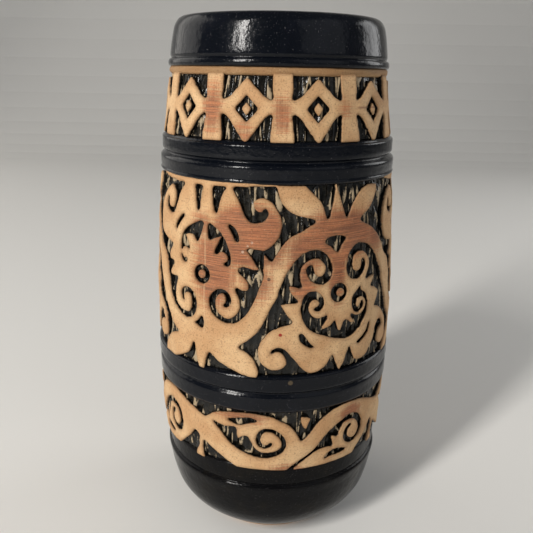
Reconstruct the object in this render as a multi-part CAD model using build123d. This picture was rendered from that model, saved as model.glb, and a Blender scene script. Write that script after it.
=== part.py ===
from build123d import *
import math
import os

# A barrel-shaped stoneware tiki mug. It is one thick casting with gloss glaze
# on its lip, hoops and foot, and three friezes of raised, bare ornament.
# Millimetres, +Z up, origin at the middle of the foot. The front is -Y.

os.makedirs("parts", exist_ok=True)

# Driving dimensions
HEIGHT = 165.0              # table to lip
BELLY_R = 39.2              # widest radius of the barrel
BELLY_Z = 70.0              # height of the widest place
STAVE_R = 560.0             # radius of the barrel's long side curve
RELIEF = 1.6                # how far the ornament stands above its ground
GLAZE = 0.4                 # thickness of every glaze coat
FLOOR_Z = 6.0               # inside floor
FLOOR_R = 23.0              # radius of the flat part of the inside floor
HEEL = (31.6, 18.0)         # inside radius and height where the floor's corner ends
INNER_BELLY = (33.1, 78.0)  # widest inside radius and its height
MOUTH_R = 27.3              # inside radius at the lip
LIP_ROUND = 2.2             # rounding of the lip
FOOT_R = 24.5               # outside radius of the foot ring
FOOT_RECESS_R = 19.0        # shallow dish under the base
FOOT_RECESS = 1.5
GLAZE_STOP = 0.8            # bare clay left below the foot's glaze

# Heights of the bands, from the table up
FOOT_GROOVE_Z = 25.2
LOWER_FRIEZE = (32.0, 52.2)
LOWER_HOOPS = (52.2, 64.0)
MIDDLE_FRIEZE = (64.0, 120.1)
UPPER_HOOPS = (120.1, 131.6)
UPPER_FRIEZE = (131.6, 149.0)
NECK_RIDGE = (149.0, 150.8)
COLLAR_Z = 150.8
COLLAR_GROOVE_Z = 153.4
LIP_Z = 162.0
COLLAR_R = 33.3
COLLAR_BEAD_R = 33.8        # the bead under the collar's groove
COLLAR_GROOVE_R = 32.9
LOWER_HOOP_CRESTS, LOWER_HOOP_VALLEY = (55.0, 61.2), 58.2
UPPER_HOOP_CRESTS, UPPER_HOOP_VALLEY = (123.2, 128.8), 126.1
LIP_R = 32.2

# The ornament is drawn flat and laid round the barrel at this many mm a degree
ROLL = 0.65
DRAW_R = ROLL * 180 / math.pi
UPPER_REPEATS = 11
MIDDLE_REPEATS = 3
LOWER_REPEATS = 4
PRISM_START, PRISM_DEPTH = 24.0, 30.0   # how far out the flat drawings are stood up, and how deep
UNIT_MIDDLE_Z = 92.4        # the hanging unit is the upright one turned about this height
UPRIGHT_AXIS = 29.3         # degrees round from the front
HANGING_AXIS = -30.7        # half a repeat from the upright axis
FIRST_POST = 2.2
FIRST_CREST = 41.5


def barrel(z):
    """Outside radius of the barrel curve at height z."""
    return BELLY_R - STAVE_R + math.sqrt(STAVE_R ** 2 - (z - BELLY_Z) ** 2)


def stave(z_low, z_high, proud):
    """Part of the barrel's side curve, moved outwards by proud."""
    middle = (z_low + z_high) / 2
    return [(barrel(z) + proud, z) for z in (z_low, middle, z_high)]


def hoop_pair(z_low, z_high, crests, valley, proud, dip):
    """Two rounded hoops with a valley between them, as points of one curve."""
    low, high = crests
    return [(barrel(z_low) - RELIEF, z_low), (barrel(z_low) - 0.2, z_low + 0.5),
            (barrel(low) + proud, low), (barrel(valley) + dip, valley),
            (barrel(high) + proud, high), (barrel(z_high) - 0.2, z_high - 0.5),
            (barrel(z_high) - RELIEF, z_high)]


def section(inset):
    """Half section of the whole mug, filled solid, with its skin inset by a glaze coat."""
    foot = [(FOOT_R - inset * 0.7, 0.0), (31.4 - inset, 7.0), (35.4 - inset * 0.9, 15.0),
            (37.0 - inset, FOOT_GROOVE_Z - 0.6)]
    low, high = LOWER_FRIEZE
    step = [(36.6 - inset, FOOT_GROOVE_Z), (37.1 - inset, FOOT_GROOVE_Z + 0.6),
            (37.2 - inset, low - 0.5), (barrel(low) - RELIEF - inset, low)]
    lower_pair = hoop_pair(*LOWER_HOOPS, LOWER_HOOP_CRESTS, LOWER_HOOP_VALLEY, 0.1, -0.7)
    upper_pair = hoop_pair(*UPPER_HOOPS, UPPER_HOOP_CRESTS, UPPER_HOOP_VALLEY, 0.35, -0.6)
    lower_hoops = [(r - inset, z) for r, z in lower_pair]
    upper_hoops = [(r - inset, z) for r, z in upper_pair]
    neck = [(barrel(NECK_RIDGE[0]) - RELIEF - inset, NECK_RIDGE[0]),
            (barrel(COLLAR_Z) - inset - GLAZE, NECK_RIDGE[0]), (barrel(COLLAR_Z) - inset - GLAZE, COLLAR_Z),
            (COLLAR_BEAD_R - inset, COLLAR_Z + 0.5), (COLLAR_BEAD_R - inset, COLLAR_GROOVE_Z - 0.8),
            (COLLAR_GROOVE_R - inset, COLLAR_GROOVE_Z), (COLLAR_R - inset, COLLAR_GROOVE_Z + 0.8),
            (LIP_R - inset, LIP_Z)]
    top = HEIGHT - inset
    lines = Polyline((0, 0), foot[0]) + ThreePointArc(*foot[:3]) + Polyline(foot[2], foot[3], *step)
    lines += ThreePointArc(*stave(*LOWER_FRIEZE, -RELIEF - inset))
    lines += Polyline(*lower_hoops[:2]) + Spline(*lower_hoops[1:6]) + Polyline(*lower_hoops[5:])
    lines += ThreePointArc(*stave(*MIDDLE_FRIEZE, -RELIEF - inset))
    lines += Polyline(*upper_hoops[:2]) + Spline(*upper_hoops[1:6]) + Polyline(*upper_hoops[5:])
    lines += ThreePointArc(*stave(*UPPER_FRIEZE, -RELIEF - inset))
    lines += Polyline(*neck)
    lip_out = (LIP_R - LIP_ROUND, top)
    lines += ThreePointArc(neck[-1], (LIP_R - inset - 0.62, top - 0.95), lip_out)
    lines += Polyline(lip_out, (0, top), (0, 0))
    return make_face(Plane.XZ * lines)


def cavity(inset):
    """Half section of the room inside, grown by a glaze coat's inset."""
    top = HEIGHT + 1.0
    floor_z = FLOOR_Z - inset
    lip_in = MOUTH_R + inset
    heel = (HEEL[0] + inset, HEEL[1])
    side = ThreePointArc(heel, (INNER_BELLY[0] + inset, INNER_BELLY[1]), (lip_in, HEIGHT - LIP_ROUND))
    flare = ThreePointArc((lip_in, HEIGHT - LIP_ROUND), (lip_in + 0.65, HEIGHT - 0.65 - inset),
                          (lip_in + LIP_ROUND, HEIGHT - inset))
    floor_corner = ThreePointArc((FLOOR_R, floor_z), (29.4 + inset, FLOOR_Z + 3.6), heel)
    edges = Polyline((0, floor_z), (FLOOR_R, floor_z)) + floor_corner + side + flare
    edges += Polyline((lip_in + LIP_ROUND, HEIGHT - inset), (lip_in + LIP_ROUND, top), (0, top),
                      (0, floor_z))
    return make_face(Plane.XZ * edges)


def band(z_low, z_high):
    """Cutting rectangle across the half section between two heights."""
    far = BELLY_R * 1.5
    return make_face(Plane.XZ * Polyline((0, z_low), (far, z_low), (far, z_high), (0, z_high), (0, z_low)))


def spun(face):
    """Turn a half section into a solid of revolution."""
    return revolve(face, axis=Axis.Z)


def save(solids, name):
    """Write one node, which may hold several repeats of the same piece."""
    parts = solids if isinstance(solids, list) else [solids]
    pieces = [solid for part in parts for solid in part.solids()]
    export_step(Compound(children=pieces) if len(pieces) > 1 else pieces[0], f"parts/{name}.step")


# The casting and its glaze coats
dish = make_face(Plane.XZ * Polyline((0, -1), (FOOT_RECESS_R, -1), (FOOT_RECESS_R - 1, FOOT_RECESS),
                                     (0, FOOT_RECESS), (0, -1)))
clay = section(GLAZE) - cavity(GLAZE) - dish
skin = section(0) - section(GLAZE) - cavity(0)

save(spun(clay), "stoneware_body")
save(spun(skin & band(GLAZE_STOP, LOWER_FRIEZE[0])), "foot_glaze")
save(spun(skin & band(*LOWER_FRIEZE)), "lower_recess_glaze")
save(spun(skin & band(*LOWER_HOOPS)), "lower_hoops_glaze")
save(spun(skin & band(*MIDDLE_FRIEZE)), "middle_recess_glaze")
save(spun(skin & band(*UPPER_HOOPS)), "upper_hoops_glaze")
save(spun(skin & band(*UPPER_FRIEZE)), "upper_recess_glaze")
collar = (skin & band(COLLAR_Z, HEIGHT)) - cavity(GLAZE)
save(spun(collar), "collar_glaze")
save(spun((cavity(GLAZE) - cavity(0)) & band(0, HEIGHT)), "liner_glaze")
ridge = make_face(Plane.XZ * Polyline(
    (barrel(COLLAR_Z) - GLAZE, NECK_RIDGE[0]), (barrel(COLLAR_Z) + 0.2, NECK_RIDGE[0] + 0.3),
    (barrel(COLLAR_Z) + 0.2, COLLAR_Z - 0.1), (barrel(COLLAR_Z) - GLAZE, COLLAR_Z),
    (barrel(COLLAR_Z) - GLAZE, NECK_RIDGE[0])))
save(spun(ridge), "neck_ridge")


# The raised ornament: flat drawings, each run a smooth curve between two corners
def flat(x, z):
    """A point of the flat drawing, narrowed so that it lands at its place on the round."""
    return (DRAW_R * math.sin(x / DRAW_R), z)


def shape(*runs):
    """A closed face whose runs join end to end, each a line or a smooth curve."""
    edges = []
    for index, run in enumerate(runs):
        points = [flat(*point) for point in run] + [flat(*runs[(index + 1) % len(runs)][0])]
        edges.append(Polyline(*points) if len(points) == 2 else Spline(*points))
    return make_face(edges)


def polygon(*points):
    """A closed face with straight sides."""
    return make_face(Polyline(*[flat(*point) for point in points], flat(*points[0])))


def stroke(width, *points):
    """A face of one width along a smooth line."""
    return trace(Spline(*[flat(*point) for point in points]), width)


def disc(x, z, radius):
    """A round face."""
    return Pos(*flat(x, z)) * Circle(radius)


def turned(face):
    """The same drawing upside down, as the hanging units are."""
    return Pos(0, UNIT_MIDDLE_Z) * Rot(Z=180) * Pos(0, -UNIT_MIDDLE_Z) * face


def ring_shell(z_low, z_high):
    """The front half of the layer that the ornament fills, from its ground to the barrel curve."""
    outer = ThreePointArc(*stave(z_low, z_high, 0))
    inner = ThreePointArc(*stave(z_low, z_high, -RELIEF))
    ends = Polyline(outer @ 0, inner @ 0) + Polyline(outer @ 1, inner @ 1)
    return spun(make_face(Plane.XZ * (outer + inner + ends)))


def raised(face, shell):
    """Stand the flat drawing up in front of the barrel and keep what lies in the layer."""
    prism = extrude(Plane.XZ.offset(PRISM_START) * face, PRISM_DEPTH)
    return prism & shell


def round_the_barrel(solid, first, repeats):
    """Copies of a raised piece set out evenly, the first at the given angle from the front."""
    return [Rot(Z=first + 360 / repeats * index) * solid for index in range(repeats)]


MIDDLE_SHELL = ring_shell(*MIDDLE_FRIEZE)
UPPER_SHELL = ring_shell(*UPPER_FRIEZE)
LOWER_SHELL = ring_shell(*LOWER_FRIEZE)

# Middle frieze: an arch of vine with a spiked medallion under it, then the same turned over
JOINT_X = 30 * ROLL
vine = shape(
    [(-JOINT_X, 98.7), (-17.3, 103.1), (-13.6, 106.7), (-10.0, 108.8)], [(-7.1, 110.3)], [(7.0, 109.8)],
    [(10.7, 108.0), (15.3, 105.0)], [(JOINT_X, 99.6)], [(JOINT_X, 86.1), (17.7, 92.0), (13.0, 100.2),
     (9.0, 102.7), (5.2, 102.2), (3.1, 99.6)], [(2.8, 97.4)], [(-2.6, 97.4), (-4.9, 101.0), (-8.2, 102.3),
     (-12.4, 100.1), (-15.6, 95.2)], [(-JOINT_X, 85.2)])
fan_hole = shape([(-4.9, 104.0), (-2.9, 105.7), (0.4, 105.7)], [(2.7, 104.7), (1.1, 103.6)],
                 [(-0.3, 100.6), (-3.1, 102.9)])
vine -= fan_hole
leaves = [
    shape([(-18.0, 119.9), (-16.5, 114.4), (-12.4, 111.8)], [(-7.3, 110.4)],
          [(-4.2, 110.1), (-5.6, 114.8), (-8.0, 117.6)], [(-10.7, 119.9)]),
    shape([(-3.7, 110.2), (-2.4, 115.3)], [(-2.0, 119.9)], [(-1.3, 120.0), (0.3, 115.3)], [(2.6, 109.9)]),
    shape([(2.9, 109.9), (4.4, 114.2), (8.0, 118.0)], [(15.6, 119.2), (14.2, 115.0), (10.8, 111.7)],
          [(7.0, 109.9)])]
medallion = shape(
    [(2.8, 97.4)], [(-2.6, 97.4), (-2.7, 94.2), (-4.9, 92.1), (-8.2, 92.9), (-10.1, 95.8)],
    [(-8.4, 98.2), (-7.8, 95.3), (-5.9, 94.5), (-4.5, 96.2), (-5.1, 98.4), (-8.0, 99.8), (-11.2, 97.9),
     (-12.0, 94.4)], [(-10.7, 90.9)], [(-15.1, 92.2), (-13.8, 89.0)], [(-11.7, 86.6)],
    [(-17.6, 86.6), (-15.3, 83.2)], [(-13.1, 81.0)], [(15.7, 81.0)], [(18.2, 86.0)], [(13.1, 88.6)],
    [(15.4, 92.0)], [(10.2, 91.2), (12.0, 95.3), (10.7, 99.1), (6.9, 100.3), (4.9, 97.8), (5.7, 94.8),
     (7.6, 94.8)], [(8.4, 98.2), (10.2, 95.6), (8.4, 92.6), (5.0, 92.4), (3.0, 94.4)])
scrolls = shape(
    [(15.7, 81.0)], [(-13.1, 81.0), (-18.0, 79.4), (-22.4, 75.2), (-23.0, 70.0), (-19.4, 66.3),
     (-15.4, 68.2), (-16.6, 71.4)], [(-19.0, 70.6), (-18.0, 73.2), (-15.1, 72.1), (-11.3, 67.0),
     (-7.6, 64.9), (-4.0, 66.2)], [(-1.4, 70.6), (-0.2, 66.8)],
    [(1.1, 64.6), (3.2, 67.6)], [(4.7, 71.1), (6.7, 67.4), (10.2, 66.0), (13.8, 68.2), (16.6, 73.0),
     (19.0, 74.8)], [(21.0, 73.0), (19.2, 70.6), (20.8, 67.8), (24.2, 69.0), (24.2, 75.0), (20.4, 79.4)])
crescent = shape([(-10.8, 80.6), (-6.9, 77.4), (-0.7, 75.0), (4.2, 74.4), (8.0, 76.0)], [(11.4, 80.6)],
                 [(9.2, 79.2), (5.2, 76.8), (0.2, 76.4), (-5.0, 78.2)])
grooves = stroke(1.6, (-7.9, 85.0), (-6.4, 84.9), (-5.5, 86.2), (-6.0, 88.0), (-7.8, 89.0), (-9.6, 88.2),
                 (-10.5, 85.6), (-9.6, 82.2), (-6.5, 79.4), (-3.0, 77.2), (0.5, 76.0), (4.0, 76.0),
                 (8.0, 77.8), (10.8, 81.0), (11.2, 84.0), (10.0, 86.6), (7.6, 87.4), (5.9, 85.8),
                 (6.2, 83.8), (7.6, 83.0))
slits = [shape([(-11.9, 77.7), (-9.9, 74.3)], [(-5.6, 72.4), (-9.0, 74.9)]),
         shape([(7.3, 71.8), (11.4, 72.6)], [(13.6, 77.3), (11.0, 74.2)])]
EYE_X, EYE_Z = 0.3, 88.9
eye = disc(EYE_X, EYE_Z, 2.9)
pip = disc(EYE_X, EYE_Z, 1.3)
medallion = medallion - eye - grooves
scrolls = scrolls - crescent - slits[0] - slits[1]

STEP = 180 / MIDDLE_REPEATS
drawings = {"vine": [vine], "leaves": leaves, "medallion": [medallion], "feet": [scrolls], "pips": [pip]}
upright = {name: [raised(face, MIDDLE_SHELL) for face in faces] for name, faces in drawings.items()}
hanging = {name: [raised(turned(face), MIDDLE_SHELL) for face in faces] for name, faces in drawings.items()}


def trimmed(solids, others):
    """Each solid less whatever it would share with the others."""
    for other in others:
        solids = [solid - other for solid in solids]
    return solids


def beside(unit, name):
    """The same pieces of the two units next to this one."""
    return [Rot(Z=side * STEP) * solid for solid in unit[name] for side in (-1, 1)]


for unit, other in ((upright, hanging), (hanging, upright)):
    unit["leaves"] = trimmed(unit["leaves"], unit["vine"])
    unit["feet"] = trimmed(unit["feet"], beside(other, "leaves") + beside(other, "vine"))


def all_round(name, unit, first):
    """Every copy of one kind of piece of the middle frieze."""
    return [copy for solid in unit[name] for copy in round_the_barrel(solid, first, MIDDLE_REPEATS)]


save(all_round("vine", upright, UPRIGHT_AXIS) + all_round("vine", hanging, HANGING_AXIS), "middle_vine")
save(all_round("pips", upright, UPRIGHT_AXIS) + all_round("pips", hanging, HANGING_AXIS), "medallion_pips")
for side, unit, first in (("upright", upright, UPRIGHT_AXIS), ("hanging", hanging, HANGING_AXIS)):
    save(all_round("leaves", unit, first), f"{side}_leaves")
    save(all_round("medallion", unit, first), f"{side}_medallions")
    save(all_round("feet", unit, first), f"{side}_scroll_feet")

# Upper frieze: posts with an open diamond between each two
POST_TOP, POST_FOOT = 3.0, 3.5
NECK_LOW, NECK_HIGH = 138.6, 142.5
half_turn = 180 / UPPER_REPEATS
half_pitch = half_turn * ROLL
diamond_z = (NECK_LOW + NECK_HIGH) / 2 - 0.4
post = polygon((-POST_FOOT, 131.8), (POST_FOOT, 131.8), (POST_TOP, 148.7), (-POST_TOP, 148.7))
reach = half_pitch - (POST_TOP + POST_FOOT) / 2
diamond = polygon((-reach, NECK_LOW), (-5.4, NECK_LOW - 1.2), (0, 131.8), (5.4, NECK_LOW - 1.2),
                  (reach, NECK_LOW), (reach, NECK_HIGH), (5.4, NECK_HIGH + 0.6), (0, 147.9),
                  (-5.4, NECK_HIGH + 0.6), (-reach, NECK_HIGH))
hole = polygon((-3.6, diamond_z), (0, diamond_z - 3.3), (3.6, diamond_z), (0, diamond_z + 3.3))
lozenge = polygon((-1.4, diamond_z), (0, diamond_z - 1.6), (1.4, diamond_z), (0, diamond_z + 1.6))
between = FIRST_POST + half_turn
post_solid = raised(post, UPPER_SHELL)
posts_beside = [Rot(Z=side * half_turn) * post_solid for side in (-1, 1)]
diamond_solid = trimmed([raised(diamond - hole, UPPER_SHELL)], posts_beside)[0]
save(round_the_barrel(post_solid, FIRST_POST, UPPER_REPEATS), "upper_posts")
save(round_the_barrel(diamond_solid, between, UPPER_REPEATS), "upper_diamonds")
save(round_the_barrel(raised(lozenge, UPPER_SHELL), between, UPPER_REPEATS), "upper_pips")

# Lower frieze: a running vine with a scroll in each dip, drawn about its crest
HALF = 45 * ROLL
lower_vine = shape(
    [(-HALF, 38.6), (-24.0, 39.6), (-18.0, 41.0), (-12.0, 48.2), (-5.0, 51.6), (2.0, 52.1), (10.0, 49.2),
     (18.0, 43.0), (24.0, 39.0)], [(HALF, 38.6)], [(HALF, 32.2)], [(19.0, 32.2), (11.0, 36.6), (5.2, 41.6),
     (2.6, 45.2), (-3.4, 46.6), (-9.6, 44.0), (-15.0, 38.6), (-21.0, 33.6)], [(-HALF, 32.2)])
crest_scroll = shape(
    [(-20.2, 32.4), (-13.5, 35.4), (-7.4, 36.3)], [(-8.4, 41.4)], [(-4.6, 39.8), (-4.2, 42.4)],
    [(-1.6, 44.4), (1.8, 44.6), (4.2, 42.0), (3.8, 38.8), (1.2, 36.6), (-2.6, 35.6), (-7.0, 34.4),
     (-13.0, 32.4)])
scroll_groove = stroke(1.5, (-3.3, 41.0), (-1.6, 42.7), (0.8, 42.4), (1.6, 40.4), (0.2, 38.8), (-1.6, 39.3))
dip_scroll = shape(
    [(-6.2, 44.0), (-3.0, 47.6), (2.0, 47.6), (6.2, 45.0)], [(9.4, 41.4)],
    [(6.8, 38.6), (2.2, 39.6), (-3.4, 39.6), (-6.4, 41.4)])
dip_groove = stroke(1.4, (3.6, 40.6), (4.6, 43.2), (2.4, 45.6), (-1.2, 46.0), (-3.8, 44.0), (-3.2, 41.4),
                    (-0.8, 40.9), (0.4, 42.6))
vine_solid = raised(lower_vine, LOWER_SHELL)
vines_beside = [Rot(Z=side * 180 / LOWER_REPEATS) * vine_solid for side in (-1, 1)]
dip_solid = trimmed([raised(dip_scroll - dip_groove, LOWER_SHELL)], vines_beside)[0]
save(round_the_barrel(vine_solid, FIRST_CREST, LOWER_REPEATS), "lower_vine")
save(round_the_barrel(raised(crest_scroll - scroll_groove - lower_vine, LOWER_SHELL), FIRST_CREST,
                      LOWER_REPEATS), "lower_crest_scrolls")
save(round_the_barrel(dip_solid, FIRST_CREST - 180 / LOWER_REPEATS, LOWER_REPEATS), "lower_dip_scrolls")
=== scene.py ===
# %% [markdown]
# # A carved stoneware tiki mug
# The mug is one heavy casting: a barrel with a glazed collar, two pairs of glazed hoops, a glazed
# foot, and three friezes of bare raised ornament over a dark, tooled ground. Round things are spun
# from a profile, as on a wheel. The ornament is drawn flat, stood up as solids, melted together by a
# voxel remesh and laid round the barrel, because a drawing is easier to read and to change flat.

# %%
import bpy
import bmesh
import math
from mathutils import Matrix, Vector, kdtree, noise


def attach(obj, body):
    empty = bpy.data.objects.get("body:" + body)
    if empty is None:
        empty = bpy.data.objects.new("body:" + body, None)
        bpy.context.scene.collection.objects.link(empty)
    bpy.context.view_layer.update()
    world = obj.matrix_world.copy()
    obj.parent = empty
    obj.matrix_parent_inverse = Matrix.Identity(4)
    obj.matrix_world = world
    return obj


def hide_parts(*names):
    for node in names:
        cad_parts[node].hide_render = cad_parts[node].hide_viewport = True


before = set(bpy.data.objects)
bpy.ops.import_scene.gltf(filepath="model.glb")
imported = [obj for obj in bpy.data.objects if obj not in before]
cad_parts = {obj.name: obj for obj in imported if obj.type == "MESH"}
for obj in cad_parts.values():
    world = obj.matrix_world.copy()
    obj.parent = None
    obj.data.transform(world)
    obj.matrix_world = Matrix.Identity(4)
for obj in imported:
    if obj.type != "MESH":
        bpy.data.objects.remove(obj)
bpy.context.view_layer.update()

# %% [markdown]
# ## The barrel
# Everything here is worked out in millimetres and turned to metres at the end. Angles go round from
# the front (-Y), positive to the right. The side of the barrel is one long arc, and every piece asks
# `barrel` for its radius, so that they all sit on the same curve. `wobble` adds the small unevenness
# of a hand-finished pot. It depends only on the place, so pieces that touch move together.

# %%
MM = 0.001
BELLY_R, BELLY_Z, STAVE_R = 39.2, 70.0, 560.0
RELIEF = 1.6
ROLL = 0.65                  # mm of drawing to a degree round the mug
VOXEL = 0.39
SPIN_STEPS, INNER_STEPS, GROUND_STEPS = 240, 160, 660
SMOOTHINGS = 3               # rounds of smoothing after a remesh
FAR_END = 9                  # a drawing that isn't cut ends well inside this, mm


def barrel(z):
    """Outside radius at a height."""
    return BELLY_R - STAVE_R + math.sqrt(STAVE_R ** 2 - (z - BELLY_Z) ** 2)


def on_the_round(angle, r, z):
    """The point at an angle, a radius and a height, in metres."""
    turn = math.radians(angle)
    return Vector((r * math.sin(turn), -r * math.cos(turn), z)) * MM


def wobble(point, size, amount, seed=0):
    """A small smooth unevenness that depends only on the place."""
    return amount * noise.noise(point / (size * MM) + Vector((seed, seed * 2, 7)))


def finish_piece(name, bm, material, nodes):
    """Turn a bmesh into a piece of the mug, attached to the root body, and hide the CAD nodes it stands for.
    """
    bmesh.ops.recalc_face_normals(bm, faces=bm.faces)
    mesh = bpy.data.meshes.new(name)
    bm.to_mesh(mesh)
    bm.free()
    mesh.materials.append(material)
    for polygon in mesh.polygons:
        polygon.use_smooth = True
    piece = bpy.data.objects.new(name, mesh)
    bpy.context.scene.collection.objects.link(piece)
    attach(piece, "root")
    if nodes:
        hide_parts(*nodes)
    print(name, len(mesh.polygons), "faces")


print("radius at the belly:", barrel(BELLY_Z), "mm, and at the collar:", round(barrel(150.8), 2))


# %% [markdown]
# ## Shader maths
# A glaze is a pattern worked out from place: how high, how far round, how near an edge. In the node
# editor that takes dozens of Math nodes. Here `S` wraps a socket and gives it +, -, * and /, so that
# a formula reads like a formula and still becomes plain nodes.

# %%
class S:
    tree = None

    def __init__(self, socket):
        self.socket = socket

    def math(self, kind, *others):
        node = S.tree.nodes.new("ShaderNodeMath")
        node.operation = kind
        for index, value in enumerate((self, *others)):
            if isinstance(value, S):
                S.tree.links.new(value.socket, node.inputs[index])
            else:
                node.inputs[index].default_value = value
        return S(node.outputs[0])

    def __add__(self, other):
        return self.math("ADD", other)

    def __sub__(self, other):
        return self.math("SUBTRACT", other)

    def __mul__(self, other):
        return self.math("MULTIPLY", other)

    def __truediv__(self, other):
        return self.math("DIVIDE", other)

    def __rsub__(self, other):
        return (self * -1).math("ADD", other)

    def most(self, other):
        return self.math("MAXIMUM", other)

    def step(self, low, high):
        """0 below low, 1 above high, smooth between."""
        node = S.tree.nodes.new("ShaderNodeMapRange")
        node.interpolation_type = "SMOOTHSTEP"
        S.tree.links.new(self.socket, node.inputs[0])
        node.inputs[1].default_value = low
        node.inputs[2].default_value = high
        return S(node.outputs[0])


def start(name):
    """A new material with its shader; S works inside its tree from here on."""
    material = bpy.data.materials.new(name)
    material.use_nodes = True
    S.tree = material.node_tree
    return material, material.node_tree.nodes["Principled BSDF"]


def place():
    """x, y and z in millimetres, and the angle round the mug in degrees."""
    coordinate = S.tree.nodes.new("ShaderNodeTexCoord")
    split = S.tree.nodes.new("ShaderNodeSeparateXYZ")
    S.tree.links.new(coordinate.outputs["Object"], split.inputs[0])
    x, y, z = (S(split.outputs[index]) * (1 / MM) for index in range(3))
    angle = x.math("ARCTAN2", y * -1) * (180 / math.pi)
    return x, y, z, angle


def vector(x, y, z):
    """One vector socket from three values."""
    join = S.tree.nodes.new("ShaderNodeCombineXYZ")
    for index, value in enumerate((x, y, z)):
        if isinstance(value, S):
            S.tree.links.new(value.socket, join.inputs[index])
        else:
            join.inputs[index].default_value = value
    return join.outputs[0]


def grain(where, scale, detail=3, rough=0.55):
    """Noise from 0 to 1."""
    node = S.tree.nodes.new("ShaderNodeTexNoise")
    node.inputs["Scale"].default_value = scale
    node.inputs["Detail"].default_value = detail
    node.inputs["Roughness"].default_value = rough
    S.tree.links.new(where, node.inputs["Vector"])
    return S(node.outputs[0])


def blend(amount, low, high):
    """Mix two colours; each is a socket or three numbers."""
    node = S.tree.nodes.new("ShaderNodeMix")
    node.data_type = "RGBA"
    S.tree.links.new(amount.socket, node.inputs[0])
    for index, colour in ((6, low), (7, high)):
        if isinstance(colour, tuple):
            node.inputs[index].default_value = (*colour, 1)
        else:
            S.tree.links.new(colour, node.inputs[index])
    return node.outputs[2]


def bumped(shader, height, distance):
    """Small relief on a finish; distance is in mm."""
    node = S.tree.nodes.new("ShaderNodeBump")
    node.inputs["Distance"].default_value = distance * MM
    node.inputs["Strength"].default_value = 1.0
    S.tree.links.new(height.socket, node.inputs["Height"])
    S.tree.links.new(node.outputs[0], shader.inputs["Normal"])


def attribute(name):
    """A value kept on the mesh's points."""
    node = S.tree.nodes.new("ShaderNodeAttribute")
    node.attribute_name = name
    return S(node.outputs["Fac"])


def feed(value, socket):
    """Link a value or a colour to a socket of the shader."""
    S.tree.links.new(value.socket if isinstance(value, S) else value, socket)


# %% [markdown]
# ## Gloss glaze
# The black glaze is a thick glassy coat. It is nearly black, with a faint orange peel, dust pits and
# thin bluish places. Highlights do most of its work, so the colour hardly varies, and the roughness
# and a shallow bump do. The foot is the same black with much less shine.

# %%
# small marks: angle, height, reach in mm
RED_DOT, HOOP_CHIP = (3.1, 77.5, 0.5), (8.0, 62.2, 0.7)
PIT, NICKS = (-2.2, 94.0, 0.5), [(-13.5, 101.5, 0.4), (-9.6, 104.3, 0.35), (-11.4, 103.2, 0.3)]


def mark(angle, z, spot):
    """1 inside a small round mark, 0 outside."""
    at, height, reach = spot
    across, up = (angle - at) * ROLL, z - height
    return (across * across + up * up).step(reach * reach * 1.5, reach * reach * 0.5)


def gloss_glaze(name, colour, thin, shine):
    """Black gloss with a faint orange peel, fine dust pits and thin brown breaks."""
    material, shader = start(name)
    x, y, z, angle = place()
    here = vector(x, y, z)
    flow = grain(here, 0.12, 4)
    pits = grain(here, 3.2, 2)
    peel = grain(here, 0.55, 3)
    base = blend(flow.step(0.45, 0.75) * 0.6, colour, thin)
    base = blend(mark(angle, z, HOOP_CHIP) * 0.22, base, (0.33, 0.24, 0.13))
    feed(blend(pits.step(0.68, 0.74) * 0.6, base, (0.16, 0.15, 0.15)), shader.inputs["Base Color"])
    shader.inputs["Specular IOR Level"].default_value = shine
    feed(grain(here, 0.3, 4) * 0.14 + 0.08 + pits.step(0.66, 0.74) * 0.2, shader.inputs["Roughness"])
    bumped(shader, peel + pits * 0.10, 0.12)
    return material


black_glaze = gloss_glaze("black gloss glaze", (0.0025, 0.0035, 0.006), (0.006, 0.007, 0.011), 0.20)
foot_glaze = gloss_glaze("satin black foot glaze", (0.003, 0.003, 0.0035), (0.010, 0.008, 0.005), 0.10)
liner_glaze = gloss_glaze("liner glaze", (0.008, 0.008, 0.010), (0.02, 0.016, 0.014), 0.3)

# %% [markdown]
# ## Bare speckled clay
# The raised ornament is unglazed clay, pale tan with iron specks, and a brown-red stain brushed on in
# patches. The glaze creeps up the sides of the relief: the attribute `lift` is 0 at the ground and 1
# at the top, and `inset` is how far a place is from its edge. Reading them from the mesh keeps the
# dark outline on the walls, which a pattern on place alone couldn't do.

# %%
TAN, PALE, BROWN = (0.51, 0.292, 0.137), (0.66, 0.44, 0.235), (0.165, 0.050, 0.025)
RED, SPECK, RECESS = (0.45, 0.158, 0.065), (0.15, 0.075, 0.032), (0.0035, 0.0035, 0.003)
# angle, height, reach round, reach up, strength
STAINS = [(-11, 106, 16, 8.5, 2.4), (31, 106, 19, 8, 1.9), (13, 102, 10, 8, 1.3), (28, 96, 5, 10, 1.5),
          (-27, 95, 12, 13, 1.35), (50, 106, 9, 9, 1.2), (-33, 108, 9, 5, 0.9), (2, 139, 6, 7, 0.95),
          (-31, 140, 7, 9, 1.05), (32, 140, 5, 5, 0.7), (-15, 134, 8, 5, 0.8), (40, 48, 9, 4, 1.1),
          (-14, 50, 16, 3, 1.1), (7, 32, 12, 3, 0.8), (150, 106, 22, 9, 1.5), (-120, 108, 16, 8, 1.8),
          (12, 94, 8, 9, 1.2), (-8, 93, 9, 8, 1.0),
          (-24, 86, 14, 6, 0.7), (95, 100, 8, 10, 1.1), (-150, 47, 12, 4, 0.9), (215, 98, 14, 12, 1.2)]


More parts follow.
